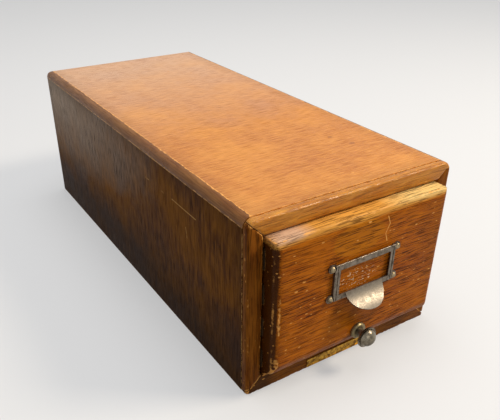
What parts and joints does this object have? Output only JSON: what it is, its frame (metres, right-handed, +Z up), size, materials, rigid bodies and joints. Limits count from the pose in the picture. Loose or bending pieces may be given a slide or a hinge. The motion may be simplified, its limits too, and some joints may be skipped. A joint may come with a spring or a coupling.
{
  "type": "index card drawer",
  "caption": "Wooden index card box with one dovetailed drawer, a label holder with a pull tongue, a card rod through the front and a sliding follower.",
  "frame": {"origin": "middle of the case's footprint, on the surface it stands on", "axes": "+Z up, -Y out of the drawer's front, +X to the right of someone facing the front"},
  "size_m": [0.178, 0.432, 0.1405],
  "materials": {
    "oak_case": "old varnish over oak, satin",
    "oak_strip": "old varnish over oak, satin, worn",
    "oak_lip": "old varnish over oak, satin, worn",
    "oak_front": "old varnish over oak, satin, scuffed",
    "oak_plain": "bare oak, darkened by age",
    "oak_drawer": "bare oak, planed",
    "oak_drawer_bottom": "bare thin board, planed",
    "aged_brass": "dull, darkened by age",
    "worn_steel": "worn plating, satin",
    "strip_brass": "rubbed, with a dark field",
    "screw_brass": "dull",
    "nail_steel": "dull, darkened"
  },
  "bodies": {
    "case": {"case_left_panel": "oak_case", "case_right_panel": "oak_case", "case_bottom_panel": "oak_plain", "case_top_panel": "oak_case", "corner_strip_left": "oak_strip", "corner_strip_right": "oak_strip", "case_back_panel": "oak_plain", "back_panel_nails": "nail_steel", "front_lip_bottom": "oak_lip", "front_lip_right": "oak_lip", "front_lip_top": "oak_lip", "front_lip_left": "oak_lip", "drawer_stop_block": "oak_plain", "drawer_stop_screws": "screw_brass", "brass_strip": "strip_brass"},
    "drawer": {"drawer_front": "oak_front", "drawer_left_side": "oak_drawer", "drawer_right_side": "oak_drawer", "drawer_back": "oak_drawer", "drawer_bottom": "oak_drawer_bottom", "drawer_bottom_nails": "nail_steel", "label_frame": "aged_brass", "label_frame_pins": "aged_brass", "rod_bush": "aged_brass", "rod_socket_plate": "aged_brass", "rod_socket_screws": "screw_brass"},
    "rod": {"card_rod": "worn_steel"},
    "knob": {"rod_knob": "worn_steel"},
    "follower": {"follower_block": "oak_drawer", "follower_rest": "oak_drawer", "follower_insert": "aged_brass"},
    "clamp": {"clamp_screw": "aged_brass"}
  },
  "joints": [
    {"name": "drawer_slide", "type": "slide", "parent": "case", "child": "drawer", "axis": [0, -1, 0], "range_m": [0, 0.359]},
    {"name": "rod_pull", "type": "slide", "parent": "drawer", "child": "rod", "axis": [0, -1, 0], "range_m": [0, 0.382]},
    {"name": "knob_turn", "type": "hinge", "parent": "rod", "child": "knob", "pos_m": [0, -0.2209, 0.0308], "axis": [0, -1, 0], "continuous": true},
    {"name": "follower_slide", "type": "slide", "parent": "drawer", "child": "follower", "axis": [0, -1, 0], "range_m": [-0.0176, 0.3025]},
    {"name": "clamp_turn", "type": "hinge", "parent": "follower", "child": "clamp", "pos_m": [0, 0.149, 0.0432], "axis": [0, 0, 1], "range_deg": [0, 270]}
  ]
}
